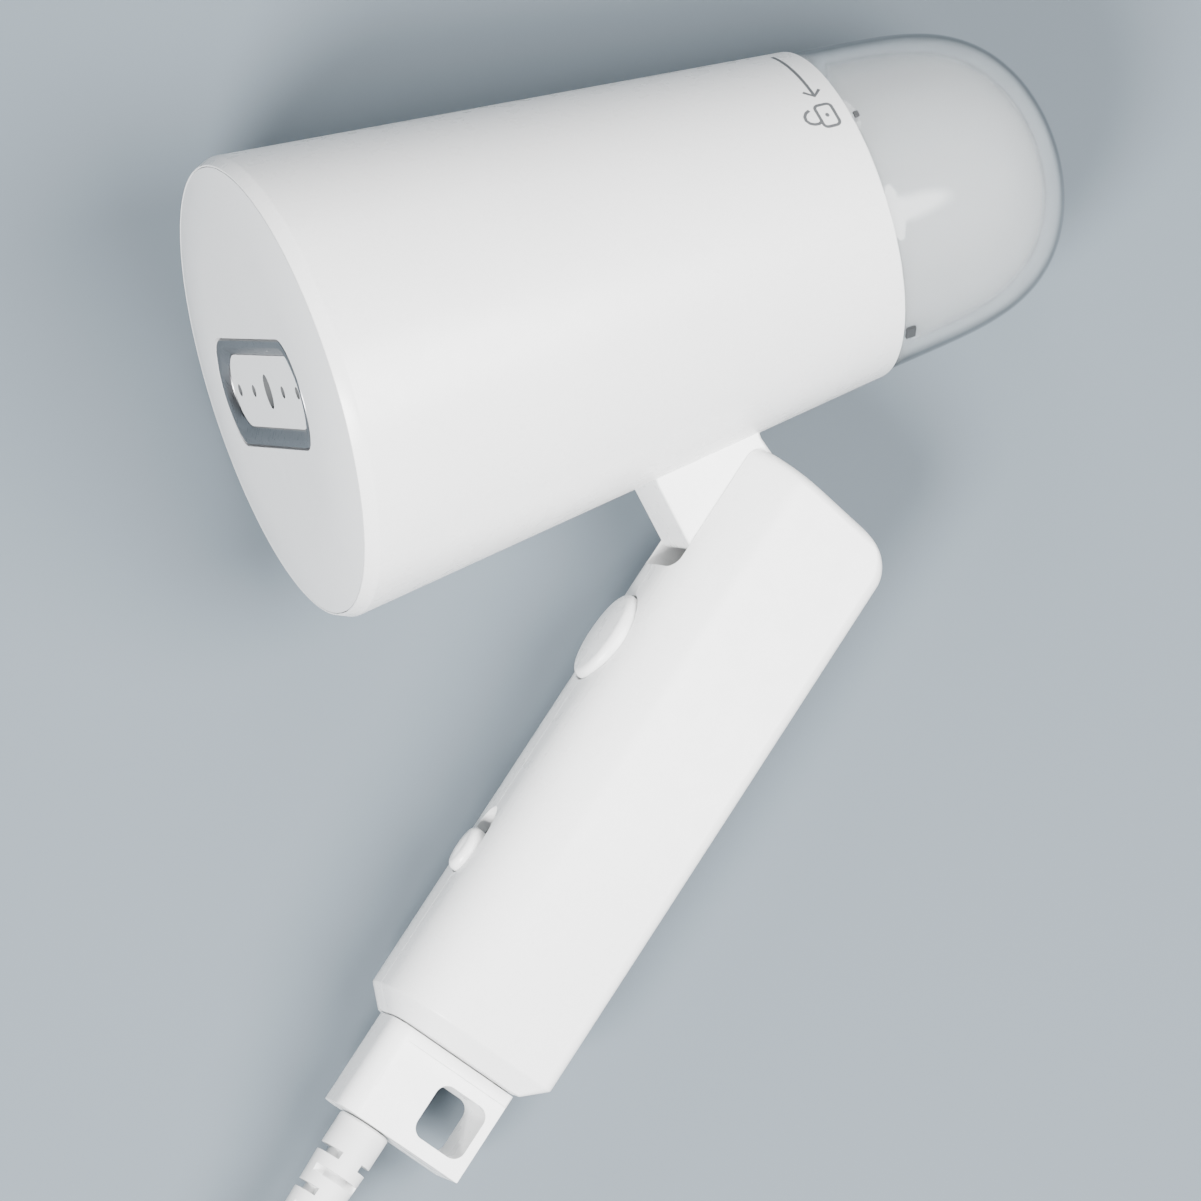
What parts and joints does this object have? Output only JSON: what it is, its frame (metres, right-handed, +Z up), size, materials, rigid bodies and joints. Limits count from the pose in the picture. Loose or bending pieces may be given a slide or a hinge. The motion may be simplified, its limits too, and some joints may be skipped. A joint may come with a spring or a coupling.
{
  "type": "folding garment steamer",
  "caption": "Hand-held travel garment steamer with a tapered round head, clear domed water tank, folding handle, steam button, slider switch and a coiled mains lead.",
  "frame": {"origin": "centre of the footprint box of the steamer lying on its right side, on the surface it rests on", "axes": "+Z up from the surface, +X from the steam face towards the water tank, +Y towards the top of the head, so the handle lies towards -Y"},
  "size_m": [0.2905, 0.3343, 0.0894],
  "materials": {
    "white_shell": "satin",
    "grey_panel": "satin",
    "bezel_metal": "brushed",
    "clear_tank": "clear gloss",
    "frosted": "frosted",
    "dark_plastic": "matte",
    "rubber": "matte",
    "copper": "wound",
    "brass": "bright",
    "alloy": "cast",
    "steel": "bright",
    "board": "matte",
    "cord_white": "satin"
  },
  "bodies": {
    "handle": {"handle_shell_left": "white_shell", "handle_shell_right": "white_shell", "handle_screw_top": "steel", "handle_screw_middle": "steel", "handle_screw_bottom": "steel", "microswitch": "dark_plastic", "slide_switch": "dark_plastic", "circuit_board": "board", "cord_clamp": "white_shell", "clamp_screw": "steel", "inner_lead": "cord_white", "hang_block": "white_shell", "strain_relief": "cord_white", "hinge_pin": "steel", "cord_lead": "cord_white", "cord_coil": "cord_white", "cord_tail": "cord_white", "cord_tie": "dark_plastic", "plug_body": "white_shell", "plug_pin_left": "steel", "plug_pin_right": "steel"},
    "head": {"head_shell": "white_shell", "front_panel": "grey_panel", "nozzle_bezel": "bezel_metal", "nozzle_plate": "grey_panel", "steam_duct": "white_shell", "boiler_body": "alloy", "boiler_gasket": "rubber", "boiler_cover": "alloy", "heating_element": "steel", "element_terminal_left": "brass", "element_terminal_right": "brass", "thermostat": "dark_plastic", "thermal_fuse": "brass", "heat_shield": "frosted", "pump_body": "white_shell", "pump_coil": "copper", "pump_bracket": "steel", "bracket_screw_front": "steel", "bracket_screw_rear": "steel", "outlet_hose": "rubber", "inlet_hose": "rubber", "neck_bracket": "white_shell", "tank_socket": "white_shell"},
    "button": {"steam_button": "white_shell", "switch_plunger": "dark_plastic"},
    "slider": {"slider_knob": "white_shell"},
    "lock_ring": {"lock_ring": "grey_panel"},
    "tank": {"tank_shell": "clear_tank", "tank_liner": "frosted", "tank_cap": "white_shell", "tank_seal": "rubber", "tank_mark_upper": "dark_plastic", "tank_mark_lower": "dark_plastic"},
    "valve": {"valve_plunger": "brass"}
  },
  "joints": [
    {"name": "fold_hinge", "type": "hinge", "parent": "handle", "child": "head", "pos_m": [0.03118, 0.01114, 0.02591], "axis": [-0.1058, 0.2052, -0.973], "range_deg": [-30, 56]},
    {"name": "steam_button_press", "type": "slide", "parent": "handle", "child": "button", "axis": [0.6015, -0.766, -0.2269], "range_m": [0, 0.0015], "stiffness_N_per_m": 800, "springref_m": -0.001},
    {"name": "power_slider", "type": "slide", "parent": "handle", "child": "slider", "axis": [0.7918, 0.6093, 0.0424], "range_m": [0, 0.005]},
    {"name": "tank_twist", "type": "hinge", "parent": "head", "child": "lock_ring", "pos_m": [-0.05134, 0.0589, 0.04496], "axis": [0.9941, 0, -0.1081], "range_deg": [-30, 0]},
    {"name": "tank_pull", "type": "slide", "parent": "lock_ring", "child": "tank", "axis": [0.9941, 0, -0.1081], "range_m": [0, 0.04]},
    {"name": "valve_push", "type": "slide", "parent": "tank", "child": "valve", "axis": [0.9941, 0, -0.1081], "range_m": [0, 0.002], "stiffness_N_per_m": 300, "springref_m": -0.001}
  ]
}
